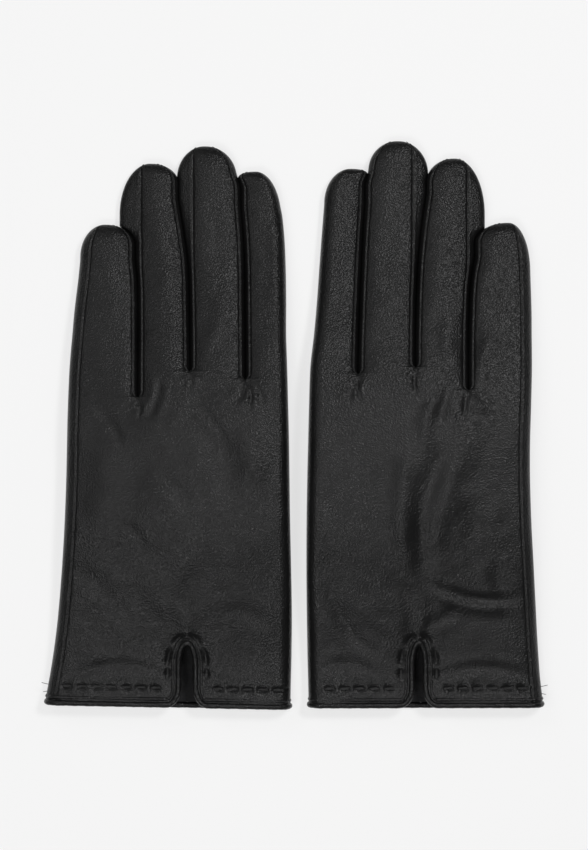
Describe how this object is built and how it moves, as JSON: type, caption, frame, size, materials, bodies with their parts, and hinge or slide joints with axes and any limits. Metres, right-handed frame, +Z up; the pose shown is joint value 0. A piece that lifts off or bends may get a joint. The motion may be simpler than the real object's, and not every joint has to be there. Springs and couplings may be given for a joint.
{
  "type": "pair of leather dress gloves",
  "caption": "Pair of slim lined leather dress gloves lying backs up with thumbs folded under, bound cuffs with a back vent, picked stitching and fourchettes.",
  "frame": {"origin": "middle of the pair's footprint, on the table they lie on", "axes": "+Z up out of the table, away from the palms; +Y from the cuffs to the fingertips; +X from the left glove to the right glove"},
  "size_m": [0.2129, 0.2418, 0.0214],
  "materials": {
    "leather": "fine-grained semi-gloss nappa",
    "lining": "matt knitted lining",
    "thread": "black sewing thread"
  },
  "bodies": {
    "left_glove": {"left_hand_leather": "leather", "left_hand_lining": "lining", "left_side_seam": "thread", "left_hem_binding": "leather", "left_hem_topstitch": "thread", "left_cuff_stitching": "thread", "left_crotch_fourchettes": "leather", "left_knuckle_leather": "leather", "left_thumb_base": "leather"},
    "left_index_finger": {"left_index_leather": "leather", "left_index_fourchettes": "leather", "left_index_lining": "lining", "left_index_seams": "thread"},
    "left_middle_finger": {"left_middle_leather": "leather", "left_middle_fourchettes": "leather", "left_middle_lining": "lining", "left_middle_seams": "thread"},
    "left_ring_finger": {"left_ring_leather": "leather", "left_ring_fourchettes": "leather", "left_ring_lining": "lining", "left_ring_seams": "thread"},
    "left_little_finger": {"left_little_leather": "leather", "left_little_fourchettes": "leather", "left_little_lining": "lining", "left_little_seams": "thread"},
    "left_thumb": {"left_thumb_leather": "leather", "left_thumb_lining": "lining", "left_thumb_seam": "thread"},
    "right_glove": {"right_hand_leather": "leather", "right_hand_lining": "lining", "right_side_seam": "thread", "right_hem_binding": "leather", "right_hem_topstitch": "thread", "right_cuff_stitching": "thread", "right_crotch_fourchettes": "leather", "right_knuckle_leather": "leather", "right_thumb_base": "leather"},
    "right_index_finger": {"right_index_leather": "leather", "right_index_fourchettes": "leather", "right_index_lining": "lining", "right_index_seams": "thread"},
    "right_middle_finger": {"right_middle_leather": "leather", "right_middle_fourchettes": "leather", "right_middle_lining": "lining", "right_middle_seams": "thread"},
    "right_ring_finger": {"right_ring_leather": "leather", "right_ring_fourchettes": "leather", "right_ring_lining": "lining", "right_ring_seams": "thread"},
    "right_little_finger": {"right_little_leather": "leather", "right_little_fourchettes": "leather", "right_little_lining": "lining", "right_little_seams": "thread"},
    "right_thumb": {"right_thumb_leather": "leather", "right_thumb_lining": "lining", "right_thumb_seam": "thread"}
  },
  "joints": [
    {"name": "left_index_curl", "type": "hinge", "parent": "left_glove", "child": "left_index_finger", "pos_m": [-0.017, 0.032, 0.0106], "axis": [-1, 0, 0], "range_deg": [-20, 80], "deforming": ["left_knuckle_leather"]},
    {"name": "left_middle_curl", "type": "hinge", "parent": "left_glove", "child": "left_middle_finger", "pos_m": [-0.0381, 0.032, 0.0106], "axis": [-1, 0, 0], "range_deg": [-20, 80], "deforming": ["left_knuckle_leather"]},
    {"name": "left_ring_curl", "type": "hinge", "parent": "left_glove", "child": "left_ring_finger", "pos_m": [-0.0607, 0.032, 0.0106], "axis": [-1, 0, 0], "range_deg": [-20, 80], "deforming": ["left_knuckle_leather"]},
    {"name": "left_little_curl", "type": "hinge", "parent": "left_glove", "child": "left_little_finger", "pos_m": [-0.0802, 0.032, 0.0106], "axis": [-1, 0, 0], "range_deg": [-20, 80], "deforming": ["left_knuckle_leather"]},
    {"name": "left_thumb_open", "type": "hinge", "parent": "left_glove", "child": "left_thumb", "pos_m": [-0.0288, -0.043, 0.0042], "axis": [-1, 0, 0], "range_deg": [0, 80], "deforming": ["left_knuckle_leather"]},
    {"name": "right_index_curl", "type": "hinge", "parent": "right_glove", "child": "right_index_finger", "pos_m": [0.0249, 0.032, 0.0106], "axis": [-1, 0, 0], "range_deg": [-20, 80], "deforming": ["right_knuckle_leather"]},
    {"name": "right_middle_curl", "type": "hinge", "parent": "right_glove", "child": "right_middle_finger", "pos_m": [0.0439, 0.032, 0.0106], "axis": [-1, 0, 0], "range_deg": [-20, 80], "deforming": ["right_knuckle_leather"]},
    {"name": "right_ring_curl", "type": "hinge", "parent": "right_glove", "child": "right_ring_finger", "pos_m": [0.0677, 0.032, 0.0106], "axis": [-1, 0, 0], "range_deg": [-20, 80], "deforming": ["right_knuckle_leather"]},
    {"name": "right_little_curl", "type": "hinge", "parent": "right_glove", "child": "right_little_finger", "pos_m": [0.0913, 0.032, 0.0106], "axis": [-1, 0, 0], "range_deg": [-20, 80], "deforming": ["right_knuckle_leather"]},
    {"name": "right_thumb_open", "type": "hinge", "parent": "right_glove", "child": "right_thumb", "pos_m": [0.0313, -0.043, 0.0042], "axis": [-1, 0, 0], "range_deg": [0, 80], "deforming": ["right_knuckle_leather"]},
    {"name": "right_glove_lift", "type": "slide", "parent": "left_glove", "child": "right_glove", "axis": [0, 0, 1], "range_m": [0, 0.12]}
  ]
}
